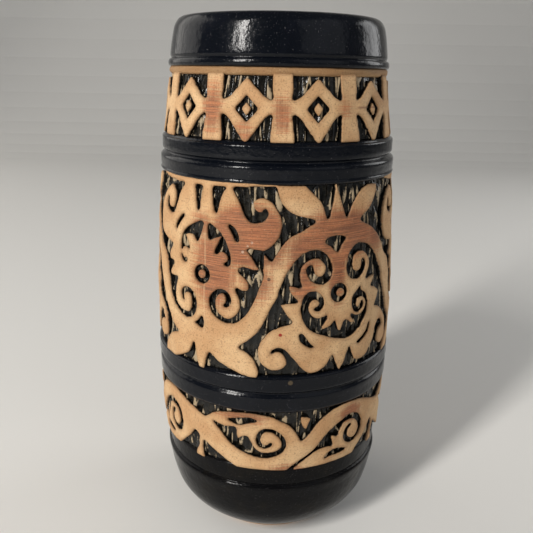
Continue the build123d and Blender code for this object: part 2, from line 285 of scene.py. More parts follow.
def bare_clay():
    """Tan clay with specks, brushed stain, a dark rim and glaze creeping up its walls."""
    material, shader = start("bare stoneware")
    x, y, z, angle = place()
    here = vector(x, y, z)
    lift, inset = attribute("lift"), attribute("inset")
    clouds = grain(here, 0.09, 5)
    fine = grain(here, 2.4, 4, 0.7)
    base = blend(clouds.step(0.35, 0.70), TAN, PALE)
    stain = None
    for at, height, wide, tall, strength in STAINS:
        across, up = (angle - at) / wide, (z - height) / tall
        patch = ((across * across + up * up) * -1.0).math("EXPONENT") * strength
        stain = patch if stain is None else stain.most(patch)
    lines = grain(vector(angle * 0.045, z * 2.6, 0.0), 1.0, 4, 0.6)
    rubs = grain(vector(angle * 1.3, z * 0.10, 3.0), 1.0, 3)
    amount = (stain + (lines - 0.5) * 1.5 + (rubs - 0.5) * 0.7 + (clouds - 0.5) * 0.8).step(0.35, 1.0)
    amount = amount * stain.step(0.10, 0.45)
    stained = blend(lines.step(0.40, 0.64), BROWN, RED)
    base = blend(lines.step(0.5, 0.7) * 0.25, base, (0.46, 0.215, 0.10))
    base = blend(amount * 0.9, base, stained)
    seam = (angle + 31.3).math("ABSOLUTE").step(0.60, 0.20) * z.step(74, 78) * z.step(108, 102)
    base = blend(seam * 0.28, base, (0.74, 0.52, 0.30))
    scorch = (z - 140.6).math("ABSOLUTE").step(0.4, 0.1) * (angle - 47).math("ABSOLUTE").step(9, 6)
    base = blend(scorch * 0.6, base, BROWN)
    base = blend(mark(angle, z, RED_DOT), base, (0.30, 0.015, 0.01))
    base = blend(mark(angle, z, PIT) * 0.85, base, (0.05, 0.02, 0.012))
    for nick in NICKS:
        base = blend(mark(angle, z, nick) * 0.30, base, (0.80, 0.70, 0.55))
    # Darker brown at the top, just under the collar bead: partly glaze stain on the neck ridge, partly
    # painted shade of the bead above it.
    base = blend(z.step(148.6, 149.6) * 0.62, base, (0.20, 0.105, 0.036))
    rim = inset.step(0.0, 0.75)
    base = blend((1 - rim) * 0.5, base, (0.22, 0.11, 0.045))
    speckle = grain(here, 2.2, 3, 0.75).step(0.52, 0.66)
    base = blend(speckle * 0.60, base, SPECK)
    base = blend(fine.step(0.56, 0.74) * 0.30, base, (0.78, 0.60, 0.38))
    wet = (lift + (grain(here, 1.1, 4) - 0.5) * 0.55).step(0.90, 0.58)
    feed(blend(wet, base, RECESS), shader.inputs["Base Color"])
    feed(wet * -0.50 + 0.74 + (fine - 0.5) * 0.2, shader.inputs["Roughness"])
    shader.inputs["Specular IOR Level"].default_value = 0.35
    bumped(shader, fine * 0.6 + grain(here, 0.8, 4) * 0.6 + lines * 0.25 + seam * 0.5, 0.16)
    return material

# %% [markdown]
# ### The glaze in the recesses
# It is the same black, slightly olive, and worn pale along the crests of the tool marks.

# %%
def recess_glaze():
    """Black glaze that has worn pale on the crests of the tool marks."""
    material, shader = start("recess glaze")
    here = vector(*place()[:3])
    lift = attribute("lift")
    olive = blend(grain(here, 0.5, 4).step(0.4, 0.7), RECESS, (0.018, 0.015, 0.010))
    worn = (lift + (grain(here, 1.4, 4) - 0.5) * 0.6).step(0.50, 0.72)
    feed(blend(worn * 0.9, olive, (0.42, 0.32, 0.20)), shader.inputs["Base Color"])
    feed(grain(here, 1.6, 3) * 0.14 + 0.06 + worn * 0.3, shader.inputs["Roughness"])
    shader.inputs["Specular IOR Level"].default_value = 0.3
    bumped(shader, grain(here, 1.1, 3), 0.12)
    return material


clay = bare_clay()
recess = recess_glaze()
print("materials:", [material.name for material in (black_glaze, foot_glaze, liner_glaze, clay, recess)])

# %% [markdown]
# ## Turned pieces
# Hoops, foot, collar and inside liner are all the same round the axis. A lathe profile spun once is
# the shortest way to them, and keeps each a closed ring. The profiles are smooth lines through a few
# points, close together where an edge is crisp.

# %%
def curve(points, step=0.5):
    """A smooth line through points, sampled about every step."""
    points = [Vector(point) for point in points]
    if len(points) == 2:
        count = max(1, round((points[1] - points[0]).length / step))
        return [points[0].lerp(points[1], index / count) for index in range(count)]
    line = []
    for index in range(len(points) - 1):
        before = points[index - 1] if index else points[0] * 2 - points[1]
        a, b = points[index], points[index + 1]
        after = points[index + 2] if index + 2 < len(points) else b * 2 - a
        count = max(2, round((b - a).length / step))
        for part in range(count):
            t = part / count
            line.append(0.5 * (2 * a + (b - before) * t + (2 * before - 5 * a + 4 * b - after) * t * t
                               + (3 * a - before - 3 * b + after) * t ** 3))
    return line


def turned(name, profile, material, nodes, segments=SPIN_STEPS, tooled=None):
    """Spin a closed profile of (r, z) once round the axis; tooled adds marks and says their lift."""
    bm = bmesh.new()
    lift, inset = [bm.verts.layers.float.new(layer) for layer in ("lift", "inset")]
    ring = [bm.verts.new((0, -r, z)) for r, z in profile]
    edges = [bm.edges.new((ring[index - 1], ring[index])) for index in range(len(ring))]
    bmesh.ops.spin(bm, geom=ring + edges, cent=(0, 0, 0), axis=(0, 0, 1), angle=math.tau,
                   steps=segments, use_merge=True, use_duplicate=False)
    bmesh.ops.remove_doubles(bm, verts=bm.verts, dist=0.001)
    for vert in bm.verts:
        x, y, z = vert.co
        shift, vert[lift] = tooled(math.degrees(math.atan2(x, -y)), math.hypot(x, y), z) if tooled else (0, 1)
        # Only the bare neck ridge reads inset: 0.4 darkens it partway towards the dark rim colour, partly
        # glaze stain and partly painted shade under the collar bead.
        vert[inset] = 0.4
        vert.co *= MM
        shift += wobble(vert.co, 26, 0.18) + wobble(vert.co, 7, 0.05)
        vert.co += Vector((x, y, 0)).normalized() * shift * MM
    finish_piece(name, bm, material, nodes)


def hoops(low, high, crests, valley, proud, dip):
    """Outside of a hoop pair from its lower edge to its upper edge."""
    under, over = crests
    reach = (over - under) / 2
    line = [(barrel(low) - RELIEF - 0.3, low - 0.1), (barrel(low) - 0.5, low + 0.05),
            (barrel(low) + proud * 0.5, low + 0.8)]
    for crest in crests:
        for offset, drop in ((-0.32, 0.82), (0, 1), (0.32, 0.82)):
            line.append((barrel(crest) + proud * drop, crest + offset * reach * 2))
        if crest == under:
            line.append((barrel(valley) + dip, valley))
    line += [(barrel(high) + proud * 0.5, high - 0.8), (barrel(high) - 0.5, high - 0.05),
             (barrel(high) - RELIEF - 0.3, high + 0.1)]
    inside = barrel(low) - RELIEF - 0.6
    return curve(line, 0.35) + [Vector((inside, high)), Vector((inside, low))]


turned("lower_hoops", hoops(51.8, 64.0, (55.0, 61.2), 58.2, 0.1, -0.75), black_glaze,
       ["lower_hoops_glaze"])
turned("upper_hoops", hoops(120.1, 131.6, (123.2, 128.8), 126.1, 0.35, -0.65), black_glaze,
       ["upper_hoops_glaze"])

foot_line = curve([(24.5, 0.9), (25.6, 2.0), (28.3, 4.1), (31.6, 7.3), (34.2, 11.4), (35.7, 16.4),
                   (36.6, 21.0), (37.1, 23.4)], 0.6)
foot_line += curve([(37.1, 23.4), (37.15, 24.2), (36.8, 24.8), (36.3, 25.2), (36.6, 25.8), (36.7, 28.5),
                    (36.75, 31.0), (36.5, 31.7), (35.6, 32.2)], 0.3)
foot_inside = [(34.2, 32.0), (34.6, 24.0), (34.0, 16.0), (32.6, 11.6), (30.2, 8.0), (27.2, 5.2), (23.9, 1.2)]
turned("foot", foot_line + [Vector(point) for point in foot_inside], foot_glaze, ["foot_glaze"])

collar = curve([(32.9, 150.7), (33.75, 151.2), (33.95, 152.0), (33.7, 152.9), (32.95, 153.4)], 0.25)
collar += curve([(32.95, 153.4), (33.3, 154.2), (33.0, 157.0), (32.4, 160.8), (31.9, 162.7), (30.9, 164.3),
                 (29.6, 165.0), (28.5, 164.6), (27.6, 163.4), (27.3, 161.8)], 0.35)
collar_inside = [(27.9, 161.0), (28.6, 163.0), (29.6, 163.9), (30.6, 162.6), (31.6, 158.0), (32.0, 151.0)]
turned("collar", collar + [Vector(point) for point in collar_inside], black_glaze, ["collar_glaze"])

liner = curve([(27.25, 162.4), (29.4, 145.0), (31.9, 120.0), (33.1, 90.0), (33.0, 60.0), (32.2, 30.0),
               (31.4, 16.0), (28.8, 9.4), (23.0, 6.2), (12.0, 6.0), (0.3, 6.0)], 2.0)
liner_back = curve([(0.3, 5.65), (23.2, 5.7), (29.5, 9.2), (31.9, 16.0), (33.4, 60.0), (33.5, 90.0),
                    (32.2, 120.0), (27.7, 162.4)], 4.0)
turned("liner", liner + liner_back, liner_glaze, ["liner_glaze"],
       INNER_STEPS)

# %% [markdown]
# ## Sunken ground
# Behind the ornament the maker cut the ground back with upright gouge strokes, and the glaze broke
# pale over their crests. Bump alone would look flat at the edges, so the strokes are real ridges: a
# finely spun ring whose points are pushed out by noise that is stretched upright. The height of each
# point is kept as `lift`, and the glaze is worn pale where it is high.

# %%
def gouged(low, high, seed):
    """Height of the tool marks: narrow upright ridges, broken up and leaning a little."""
    def height(angle, r, z):
        if r < barrel(z) - RELIEF - 0.6 or not low + 0.4 < z < high - 0.4:
            return 0.0, 0.0
        turn = math.radians(angle)
        lean = 1.2 * noise.noise(Vector((angle * 0.06, z * 0.05, seed)))
        along = Vector((math.sin(turn) * 23, math.cos(turn) * 23, z * 0.085 + seed))
        ridge = 1 - abs(noise.noise(along + Vector((lean, lean, 0)))) * 3.6
        broken = 0.75 + 0.7 * noise.noise(Vector((angle * 0.25, z * 0.22, seed + 9)))
        lift = max(0.0, ridge) * broken
        return lift * 1.05 - 0.15, min(1.0, lift)
    return height


GROUNDS = (("lower", 32.0, 52.2, 1), ("middle", 64.0, 120.6, 2), ("upper", 131.6, 149.0, 3))
for name, low, high, seed in GROUNDS:
    rows = max(20, round((high - low + 0.6) / 0.8))
    heights = [low - 0.3 + (high - low + 0.6) * index / rows for index in range(rows + 1)]
    profile = [(barrel(z) - RELIEF, z) for z in heights]
    profile += [(barrel(high) - RELIEF - 1.0, high + 0.3), (barrel(low) - RELIEF - 1.0, low - 0.3)]
    turned(f"{name}_ground", profile, recess, [f"{name}_recess_glaze"], GROUND_STEPS,
           gouged(low, high, seed))

# %% [markdown]
# ## Drawing the ornament
# A drawing is text: `x,z` points in mm, smooth between corners, and a star marks a corner. Each
# outline becomes a closed prism. A voxel remesh joins prisms that overlap and a boolean takes out the
# holes, then a little smoothing softens the edges as glaze and casting do. Bevels on outlines this
# tangled would cross each other, which a remesh never does.

# %%
def drawn(text, wide=1.0):
    """The outline that a drawing's text describes, as close points."""
    points = [(item.startswith("*"), *map(float, item.strip("*").split(","))) for item in text.split()]
    corners = [index for index, point in enumerate(points) if point[0]]
    points = points[corners[0]:] + points[:corners[0]]
    runs, run = [], []
    for corner, x, z in points + points[:1]:
        run.append((x * wide, z))
        if corner and len(run) > 1:
            runs.append(run)
            run = [run[-1]]
    return [point for line in runs for point in curve(line, 0.45)]


def stroked(text, wide=1.0):
    """A groove or a tapered stroke: `x,z,width` along its middle."""
    points = [map(float, item.split(",")) for item in text.split()]
    middle = curve([(x * wide, z, width) for x, z, width in points], 0.4)
    left, right = [], []
    for index, point in enumerate(middle):
        ahead = middle[min(index + 1, len(middle) - 1)].xy - middle[max(index - 1, 0)].xy
        side = Vector((-ahead.y, ahead.x)).normalized() * max(0.15, point.z) / 2
        left.append(point.xy + side)
        right.append(point.xy - side)
    return left + right[::-1]


def round_outline(x, z, radius):
    """A circle in the drawing."""
    return [Vector((x + radius * math.cos(a), z + radius * math.sin(a)))
            for a in (math.tau * index / 24 for index in range(24))]

# %% [markdown]
# ### From outlines to one soft solid
# Outlines are filled, extruded and melted together. The voxels divide the drawing's length evenly, so
# that the two ends of a repeat match. Each point then learns its `lift` and how far it is from an edge.

# %%
def stood_up(outlines, low, high, name):
    """One object holding a closed prism for each outline."""
    bm = bmesh.new()
    for outline in outlines:
        face = bm.faces.new([bm.verts.new((p.x, p.y, low)) for p in outline])
        grown = bmesh.ops.extrude_face_region(bm, geom=[face], use_keep_orig=True)["geom"]
        bmesh.ops.translate(bm, verts=[g for g in grown if isinstance(g, bmesh.types.BMVert)],
                            vec=(0, 0, high - low))
    bmesh.ops.recalc_face_normals(bm, faces=bm.faces)
    mesh = bpy.data.meshes.new(name)
    bm.to_mesh(mesh)
    bm.free()
    thing = bpy.data.objects.new(name, mesh)
    bpy.context.scene.collection.objects.link(thing)
    return thing


def melted(raised, cut, ends):
    """The raised outlines as one softened solid with the cut ones taken out, still flat.

    The voxels divide the drawing's length evenly, so that its two ends match when it repeats.
    """
    length = ends[1] - ends[0]
    fine = length / round(length / VOXEL)
    base = stood_up(raised, -0.7, RELIEF, "raised")
    voxel = base.modifiers.new("join", "REMESH")
    voxel.mode, voxel.voxel_size = "VOXEL", fine
    if cut:
        tool = stood_up(cut, -2.0, RELIEF + 2.0, "cut")
        tool_voxel = tool.modifiers.new("join", "REMESH")
        tool_voxel.mode, tool_voxel.voxel_size = "VOXEL", fine * 0.8
        away = base.modifiers.new("away", "BOOLEAN")
        away.operation, away.object, away.solver = "DIFFERENCE", tool, "EXACT"
        again = base.modifiers.new("again", "REMESH")
        again.mode, again.voxel_size = "VOXEL", fine
    bpy.context.view_layer.update()
    done = base.evaluated_get(bpy.context.evaluated_depsgraph_get())
    bm = bmesh.new()
    bm.from_mesh(done.to_mesh())
    done.to_mesh_clear()
    for thing in [base] + ([tool] if cut else []):
        bpy.data.objects.remove(thing)
    for _ in range(SMOOTHINGS):
        bmesh.ops.smooth_vert(bm, verts=bm.verts, factor=0.5, use_axis_x=True, use_axis_y=True,
                              use_axis_z=True)
    for end, side in zip(ends, (-1, 1)):
        cutting = bmesh.ops.bisect_plane(bm, geom=bm.verts[:] + bm.edges[:] + bm.faces[:], dist=1e-5,
                                         plane_co=(end, 0, 0), plane_no=(side, 0, 0), clear_outer=True)
        rim = [g for g in cutting["geom_cut"] if isinstance(g, bmesh.types.BMEdge)]
        bmesh.ops.holes_fill(bm, edges=rim, sides=0)
        for line in rim:
            line.smooth = False
    lift = bm.verts.layers.float.new("lift")
    inset = bm.verts.layers.float.new("inset")
    edge = [vert for vert in bm.verts if -0.2 < vert.co.z < RELIEF * 0.72]
    tree = kdtree.KDTree(len(edge))
    for index, vert in enumerate(edge):
        tree.insert((vert.co.x, vert.co.y, 0), index)
    tree.balance()
    for vert in bm.verts:
        away_from_edge = tree.find((vert.co.x, vert.co.y, 0))[2]
        vert[lift] = max(0.0, min(1.0, vert.co.z / RELIEF))
        vert[inset] = min(1.0, away_from_edge / 1.6)
    flat = bpy.data.meshes.new("flat")
    bm.to_mesh(flat)
    bm.free()
    print("melted", len(flat.polygons), "faces")
    return flat

# %% [markdown]
# ### Laid round the barrel
# The flat solid is bent by giving each point an angle for its x and a radius for its depth. A curve
# modifier could bend it too, but it wouldn't follow the barrel's changing radius.

# %%
def laid_round(name, flat, turns, nodes, seed=0):
    """Copies of a flat solid round the barrel; each turn maps x to an angle."""
    bm = bmesh.new()
    for turn in turns:
        first = len(bm.verts)
        bm.from_mesh(flat)
        bm.verts.ensure_lookup_table()
        for vert in bm.verts[first:]:
            x, z, up = vert.co
            z = max(z, 20.0)
            spot = on_the_round(turn(x), barrel(z) - RELIEF + up, z)
            inwards = wobble(spot, 9, 0.30, seed) + wobble(spot, 2.6, 0.12, seed) if up > 0 else 0.0
            vert.co = on_the_round(turn(x) + wobble(spot, 5, 0.25, seed + 3),
                                   barrel(z) - RELIEF + up + inwards,
                                   z + wobble(spot, 5, 0.16, seed + 5))
    finish_piece(name, bm, clay, nodes)


def plain_turn(axis):
    """The angle for a place on a drawing whose x = 0 is at the axis."""
    return lambda x: axis + x / ROLL


# %% [markdown]
# ## Middle frieze: the upright unit
# An arch of vine has three leaves above it and a spiked medallion with curled feet below it.
# The vine and its leaves grow out of each other, so they are one outline. The medallion is a second
# one that overlaps it.

# %%
WIDE_SIDE, NEAR_SIDE = 21.7, 19.92      # from a unit's axis to its joints
UP_VINE = """*-22,101.5 -22,101.5 *-19.9,98.7 -18.7,100.9 -17.3,103.1 -15.6,105.3 -13.6,106.7 -11.3,107.8
-9.6,108.9 *-7.1,110.4 -8.7,110.9 -10.9,111.4 -13.8,112.3 -15.6,113.4 -17.2,115.3 -18.1,117.3 *-18.9,120.2
*-10.7,120.2 -9.1,118.6 -7.3,117 -6.1,115.6 -5.3,114 -4.8,112.4 -4.4,110.9 *-4.05,109.9 -3.55,110.9
-3.1,112.7 -2.4,115.3 -1.9,118 *-2,120.6 *-1.3,120.6 -1,119.1 -0.3,117.3 0.3,115.3 1.1,113.3 1.9,111.3
*2.8,109.6 3.1,111.3 3.9,113.1 4.9,114.7 6.2,116.4 8,118 10,119.0 12.2,119.4 *15.6,119.2 15.6,117.6
14.7,115.8 13.3,114 11.8,112.4 9.8,111.3 *7,109.6 8.7,108.9 10.7,108 12.9,106.9 15.3,105.1 17.3,103.1
19.1,100.9 20.7,98.7 *21.7,97.5 *24,95 *24,84 *21.7,86.4 19.6,91.1 18.7,93.1 17.1,95.3 15.3,97.8 13.6,99.8
11.6,101.6 9.8,102.4 7.6,102.8 5.6,102.4 4,101.1 3.1,99.6 *2.8,97.4 *-2.4,97.4 -3.6,99.8 -4.9,101 -6.4,102
-8.2,102.3 -9.6,102 -10.9,101.3 -12.4,100.1 -13.8,98.4 -14.7,96.9 -15.6,95.6 -16.3,93.8 -17.6,90.8
-18.4,88.6 -19.6,85.9 *-19.9,85.1 *-22,81.5"""
UP_MEDALLION = """*2.8,98.5 *-2.4,98.5 -2.3,96.7 -2.4,94.9 -3.1,93.3 -4.4,92.2 -6.4,92.1 -8.2,92.9
-9.3,94.2 -10,95.6 -10.2,96.9 -9.6,97.6 *-8.4,98.2 -8.1,96.4 -7.8,95.3 -6.7,94.4 -5.3,94.7 -4.6,96
-4.4,97.3 -5.1,98.4 -6.4,99.6 -8,99.8 -9.6,99.3 -10.9,98.3 -11.8,96.9 -12.1,95.3 -12,93.8 -11.6,92.4
*-10.7,90.9 -13.6,91.8 *-15.1,92.2 -14.8,90.6 -13.8,89 -12.7,87.9 *-11.7,86.6 -13.1,86.8 -15.3,86.8
*-17.6,86.6 -16.4,85 -15.3,83.2 -14.2,81.9 *-13.1,80.9 -14.7,80.6 -16.4,80.1 -18,79.4 -19.8,78.3 -21.1,77
-22.4,75.2 -23.2,73 -23.2,70.8 -22.7,69 -21.6,67.7 -20.3,66.7 -18.5,66.1 -16.9,66.4 -15.6,67.3 -15,68.6
-15.7,70.8 -16.6,71.7 -17.6,72.2 -18.7,71.8 -19.3,70.6 -19.2,69 *-18.7,67.3 -19.6,69 -19.9,70.8 -19.3,72.3
-18,73.2 -16.4,73 -15.1,72.1 -13.8,70.3 -12.4,68.6 -11.3,67 -10,65.7 -8.7,64.9 -7.6,64.6 -6,65 -4.4,65.9
-3.1,67.2 -2,69 *-1.4,70.6 -0.9,68.6 -0.2,66.8 0.7,65 *1.1,64 2,65.4 2.9,67 3.6,69 4.3,70.8 *4.7,71.1
5.1,70.8 5.8,69 6.7,67.2 7.5,66.2 9.1,65.9 11.3,66.1 12.9,66.8 14.4,68.6 15.6,70.8 16.4,73 17.5,74.9
19,75.9 21,75.7 *22.9,73.2 21.6,73.3 19.6,72.8 18.3,70.8 18.7,68.8 20.6,67.6 23,67.8 24.8,69.2 25.2,71
24.6,75.2 22.6,77.8 20.4,79.6 18,80.9 *15.7,81.6 17.4,84.2 *18.2,86 16,87.6 *13.1,88.6 14.6,90.4 *15.4,92
12.4,91.6 *10.2,91.2 11.3,93.6 12,95.3 11.8,97.3 10.7,99.1 9.1,100.2 6.9,100.3 5.3,99.2 4.9,97.8 4.8,96
5.4,94.9 6.7,94.4 7.8,94.8 8.3,95.8 *8.4,98.2 9.6,97.6 10.3,96.4 10.2,94.9 9.1,93.3 7.8,92.2 6.2,92.1
4.4,92.7 3.1,94 2.7,95.8"""
UP_FAN = "*-4.9,104 -4.6,105.1 -2.9,105.7 -1.3,105.9 0.4,105.7 2,105.1 *2.7,104.7 1.1,103.6 0.3,102.4 " \
         "*-0.3,100.6 -1.6,101.6 -3.1,102.9"
UP_LEFT_SCROLL = """*-7.9,84.8 -7.8,85.4 -6.7,85.6 -6.1,86.3 -6.4,87.2 -7.6,87.8 -8.7,87.3 -9.3,86.1
-9.4,84.8 -8.9,83.4 -7.8,82.3 -6.4,81.9 -4.7,82.3 *-3.2,82.9 -3.6,81.6 -4.4,80.3 *-6,78.2 -4.2,78.6
-2.4,79.4 *-0.9,80.9 -0.6,79.7 -0.1,77.9 *0.1,76.1 0.9,77.4 1.6,78.8 *2.3,80.3 3.8,79.7 4.7,78.8 *7.8,78.3
5.3,79.9 *3.6,82.6 5.1,81.7 6,81.0 7.8,80.6 9.6,81.2 10.6,82.6 10.7,84.3 10,85.7 8.7,86.3 7.1,86.1
6.7,84.6 6.7,83.4 7.1,83.1 8,83.9 *8.8,85.4 9.8,84.3 9.8,83.2 9.1,82.1 8,81.4 6.7,81.7 5.6,82.3 *5.3,83
4.8,84.6 4.9,86.3 5.6,87.7 6.9,88.6 *8,90.1 8.7,88.2 10.2,87.4 11.3,86.1 11.9,84.6 12,82.6 11.7,80.6
10.7,78.8 9.3,77.2 7.8,75.9 6,74.8 4.2,74.2 1.6,74.3 -0.7,75 -2.7,75.7 -4.9,76.6 -6.9,77.4 -8.7,78.6
-9.9,79.9 -10.7,81.4 -11.2,83 -11.4,84.8 -11.2,86.8 -10.7,88.6 -9.9,89.7 -8.7,90.2 -7.3,90.1 -6,89.2
-5,87.7 -4.7,86.1 -5.1,84.8 -6.2,84.1 -7.3,84.2"""
UP_SLITS = ["*-11.9,77.7 -11.3,75.2 -9.6,73.7 -7.8,72.7 *-5.6,72.4 -7.6,73.4 -9.1,75.2 -10.7,77.4",
            "*7.3,71.8 8.7,71.1 10.4,71.9 12.2,73.4 13.6,75.9 *13.6,77.3 12.7,76.6 11.8,74.8 10,73.2"]
UP_CUTS = [UP_FAN, UP_LEFT_SCROLL] + UP_SLITS
print("points in the upright vine's outline:", len(drawn(UP_VINE)))

# %% [markdown]
# ## Middle frieze: the hanging unit
# The same motif turned over, but not an exact copy of it, so it has its own drawing. A narrow bare
# ledge under the hoops joins the tops of its leaves. The two long spirals are grooves of changing
# width, drawn by their middle line as `x,z,width`.

# %%
DOWN_BODY = """*3.4,110.4 4.1,112.7 4.7,115.3 5.6,117.8 7.1,119 8,119.2 9.1,118 10.2,116.2 11.1,114.2
11.8,112.4 12.7,110.9 13.8,109.9 15.8,109.8 17.6,110.4 18.7,111.8 18.7,113.1 *18,114.2 17.4,113.1
16.7,112.7 15.6,113.1 14.7,114.2 14.7,115.6 15.8,116.4 17.3,116.8 19.1,116 20.2,115.3 21.2,113.8 22.3,112
22.75,109.8 22.5,107.6 21.6,105.3 19.9,103.3 17.9,102.1 15.8,102.2 14.2,102.4 *12.7,102.3 13.6,101.3
14.7,99.8 15.8,98 *16.9,96.6 15.3,96.2 13.6,96.7 12,97 *10.7,96.4 10.9,95.3 12.7,93.8 14,92 *13.8,90.3
12,90.1 10,91 *8.8,91.6 10.2,89.6 11.4,87.2 11.6,85 10.7,82.8 9,81.4 *7.4,80.4 *-7.6,80.2 -9.8,80.6
-11.6,81.8 -12.4,83.7 -12.5,85.4 -12.2,87.2 -11.6,89 *-10.8,90.4 -13,90 -15.1,90.1 *-15.6,91.6 -13.8,93.8
*-12.8,94.6 -15.6,94.7 *-16.9,96 -16,97.8 -14.7,99.1 *-13.6,99.9 -16.4,100 -19.1,100.7 -22,102.4
-23.6,105.5 -23.8,109.5 -22.6,113.2 -19.5,116 -16.5,117.5 -14.4,116 -13.9,113.8 -14.2,112.2 -14.9,110.7
-16.4,110.4 -17.8,111.3 *-17.8,113.3 -18.7,113.6 -19.6,112.2 -19.6,110.9 -18.2,109.6 -16,109 -14.2,109.6
-13.4,110.9 -12.4,113.6 -11.6,115.6 -10.2,117.3 -8.7,118.7 -6.9,119.3 -5.1,118.9 -4.2,117.6 -3.8,115.3
-3.6,113.1 *-3,108.7 -2.4,112 -1.9,115.3 *-1.1,120.8 *1.4,120.8 2.2,117 2.8,113"""
DOWN_VINE = """*-24,100 *-21.7,97.5 -19.4,95.8 -17.7,92.8 -16.9,90.1 -16.2,87 -15.6,84.8 -14.4,82.8
-13.1,81 -11.3,79.9 -9.6,79 -7.8,78.4 *-6,78.6 *-6,81.5 *6,81.5 *6.6,79.4 8,79.7 9.8,80.1 11.6,81.2
13.1,83 14.4,85.2 15.6,87.7 16.2,89.7 17.1,92.3 18.4,95.8 *19.9,98.7 *22,102 *22,89 *19.9,85.1 18.4,81.4
17.1,78.8 15.8,77 14,75.2 12.4,73.9 *10.9,72.8 11.9,72.1 13.6,71.2 15.3,69.7 16.2,67.9 16.9,65.9
*16.7,63.6 12.7,63.8 9.6,65 6.9,66.3 4.7,67.4 3.1,68.8 *1.9,69.8 1.3,68.1 0.7,66.3 *0,63.4 *-2,63.4
-2.7,66.3 -3.1,68.6 -3.3,70.8 *-3.7,72.6 -4.7,69.7 -6,67.4 -7.8,66.1 -10.4,64.8 *-13.1,63.4 *-20,63.4
-19.3,66.1 -18.2,68.1 -16.7,69.9 -14.7,71.2 *-12.4,72.1 *-10,72.3 -12,73.2 -14,74.3 -15.8,75.9 -17.3,77.9
-18.7,80.1 -20,82.3 *-21.7,85.6 *-24,90"""
LEDGE = "*-24,121 *21,121 *21,119.9 16,119.7 8,119.3 2,119 -6,118.9 -14,118.8 -19,119.3 *-24,120.4"
DOWN_CUTS = ["*-7.8,110.1 -9.6,109.6 -11.1,108.4 -12.4,106.7 -13.1,104.7 *-13.3,103.4 -11.6,105.6 -10,107.8",
             "*6.2,109.3 8,108.9 9.6,107.8 10.6,106 10.9,104.2 *10.7,103.6 9.8,104.2 8.9,106 7.8,107.8",
             """*-0.2,108.4 -1.6,108.7 -3.6,108 -5.6,107.1 -7.3,106 -8.7,104.4 -9.6,102.4 -10,100.4
             -10.1,98.7 -9.8,96.9 -8.7,95.6 -7.3,95.6 *-6.3,97.6 -7.2,97 -8.4,96.9 -9.2,97.8 -9.3,99
             -8.6,100.1 -7.4,100.3 -6.2,99.6 *-5,97.3 -5.1,98.4 -5.8,100.7 -6.7,102.4 *-7.8,104 -5.8,104.5
             -4.2,104.2 *-2.6,102.2 -1.8,104.2""",
             """*1.1,108.7 2.7,108 4.2,107.1 5.8,105.6 7.1,103.6 8,101.6 8.5,99.8 8.5,98 7.6,96.5
             *5.6,97.5 6.7,97.6 7.6,98.3 7.8,99.3 7.2,100.3 6,100.9 4.9,100.5 3.9,99.6 *3.1,98.5 3.3,100.2
             4,102 4.9,103.6 *5.7,105.4 3.1,104.4 *1.5,103.2 1.0,105.6""",
             "*-1,80.4 -0.1,79.7 -0.1,76.6 -1.3,76.7 -2.4,77.2 *-4.7,76.9 -2,78.8"]
DOWN_GROOVES = ["""-7.8,83.4,.3 -8.6,84.8,1.4 -8.4,86.4,1.6 -7,87.3,1.6 -5.2,87.2,1.5 -3.9,85.8,1.7
-3.5,83.8,1.9 -3.9,81.6,1.8 -5.3,79.8,1.7 -7.5,79.2,1.5 -9.8,79.8,1.4 -12,81,1.4 -13.5,82.8,1.6
-14.2,85,2.4 -14.6,88,3""",
                """6.5,84.9,.8 7.6,85.2,1.3 8.1,86.6,1.4 7.6,88.3,1.4 6.3,89.3,1.2 4.6,88.7,1.4 3.3,87,1.8
                3,85,2 3.7,82.8,1.9 5.4,81.1,1.5 7.8,80.3,1.2 10.2,81.1,1.3 11.9,83,1.5 12.7,85.5,2.2
                13.3,88.5,3"""]
pip_flat = melted([round_outline(0, 0, 1.35)], [], (-FAR_END, FAR_END))

# %% [markdown]
# One repeat is a hanging and an upright unit, with its neighbours' overhanging scrolls, cut at the
# vine's joints. The units are set out a little unevenly.

# %%
HANGING = [-32.0, 93.3, 207.1]
UPRIGHT = [29.3, 150.2, 264.0]
UNIT_GAP = 2 * NEAR_SIDE                # hanging axis to upright axis
REPEAT_GAP = 2 * WIDE_SIDE              # upright axis to the next hanging axis


def moved(outlines, across):
    """Copies of outlines, shifted along the drawing."""
    return [[point.to_2d() + Vector((across, 0)) for point in outline] for outline in outlines]


up_raised = [drawn(UP_VINE), drawn(UP_MEDALLION)]
up_cut = [drawn(cut) for cut in UP_CUTS] + [round_outline(0.1, 88.9, 2.9)]
down_raised = [drawn(DOWN_BODY), drawn(DOWN_VINE), drawn(LEDGE)]
down_cut = ([drawn(cut) for cut in DOWN_CUTS] + [stroked(groove) for groove in DOWN_GROOVES]
            + [round_outline(-0.8, 93.2, 2.8)])
raised, cut = [], []
for across in (-REPEAT_GAP, UNIT_GAP):
    raised += moved(up_raised, across)
    cut += moved(up_cut, across)
for across in (0, UNIT_GAP + REPEAT_GAP):
    raised += moved(down_raised, across)
    cut += moved(down_cut, across)
repeat_flat = melted(raised, cut, (-WIDE_SIDE, UNIT_GAP + WIDE_SIDE))


def set_out(index):
    """Angle for a place along repeat number index: straight from axis to axis."""
    before = UPRIGHT[index - 1] - (360 if index == 0 else 0)
    after = HANGING[(index + 1) % 3] + (360 if index == 2 else 0)
    stops = ((-REPEAT_GAP, before), (0, HANGING[index]), (UNIT_GAP, UPRIGHT[index]),
             (UNIT_GAP + REPEAT_GAP, after))

    def turn(x):
        for (x0, a0), (x1, a1) in zip(stops, stops[1:]):
            if x <= x1 or x1 == stops[-1][0]:
                return a0 + (a1 - a0) * (x - x0) / (x1 - x0)
    return turn


for index, name in enumerate(("front", "right", "left")):
    laid_round(f"middle_ornament_{name}", repeat_flat, [set_out(index)],
               ["middle_vine", "upright_leaves", "upright_medallions", "upright_scroll_feet",
                "hanging_leaves", "hanging_medallions", "hanging_scroll_feet"])

